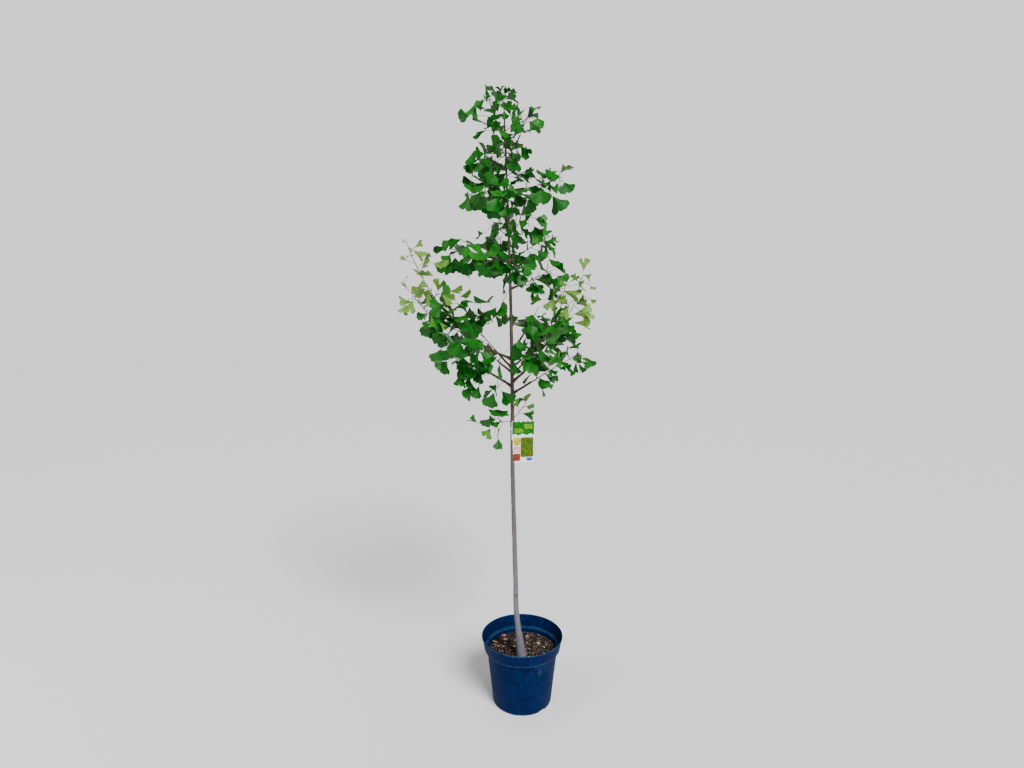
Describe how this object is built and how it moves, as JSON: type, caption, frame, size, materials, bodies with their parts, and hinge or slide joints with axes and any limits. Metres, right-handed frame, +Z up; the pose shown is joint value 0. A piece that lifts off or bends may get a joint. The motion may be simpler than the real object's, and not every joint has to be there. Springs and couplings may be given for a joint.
{
  "type": "potted ginkgo tree",
  "caption": "Young ginkgo tree with a thin upright trunk, rising boughs and fan-shaped leaves, in a round dark blue nursery pot with a hang label.",
  "frame": {"origin": "centre of the pot's flat underside", "axes": "+Z up along the trunk, -Y towards the front, where the hang label shows, +X to its right"},
  "size_m": [0.637, 0.4274, 2.043],
  "materials": {
    "pot": "satin",
    "potting_mix": "matte",
    "bark": "matte",
    "foliage": "satin",
    "hang_label": "satin"
  },
  "bodies": {
    "root": {"bough_back_left": "bark", "bough_back_left_middle": "bark", "bough_back_middle": "bark", "bough_back_right": "bark", "bough_front_low": "bark", "bough_front_middle": "bark", "bough_front_right": "bark", "bough_left_high": "bark", "bough_left_long": "bark", "bough_left_low": "bark", "bough_left_middle": "bark", "bough_right_high": "bark", "bough_right_inner": "bark", "bough_right_long": "bark", "bough_right_low": "bark", "bough_right_middle": "bark", "bough_right_rising": "bark", "foliage_back_left": "foliage", "foliage_back_left_middle": "foliage", "foliage_back_middle": "foliage", "foliage_back_right": "foliage", "foliage_back_tip": "foliage", "foliage_back_upper": "foliage", "foliage_front_low": "foliage", "foliage_front_middle": "foliage", "foliage_front_right": "foliage", "foliage_front_tip": "foliage", "foliage_front_upper": "foliage", "foliage_leader": "foliage", "foliage_left_high": "foliage", "foliage_left_inner": "foliage", "foliage_left_long": "foliage", "foliage_left_low": "foliage", "foliage_left_middle": "foliage", "foliage_left_near": "foliage", "foliage_left_rising": "foliage", "foliage_left_spur": "foliage", "foliage_left_tip": "foliage", "foliage_left_upper": "foliage", "foliage_right_crown": "foliage", "foliage_right_hanging": "foliage", "foliage_right_high": "foliage", "foliage_right_inner": "foliage", "foliage_right_long": "foliage", "foliage_right_low": "foliage", "foliage_right_middle": "foliage", "foliage_right_rising": "foliage", "foliage_right_short": "foliage", "foliage_right_spur": "foliage", "foliage_right_thin": "foliage", "foliage_right_tip": "foliage", "foliage_right_upper": "foliage", "hang_label": "hang_label", "pot": "pot", "potting_mix": "potting_mix", "trunk": "bark"}
  },
  "joints": []
}
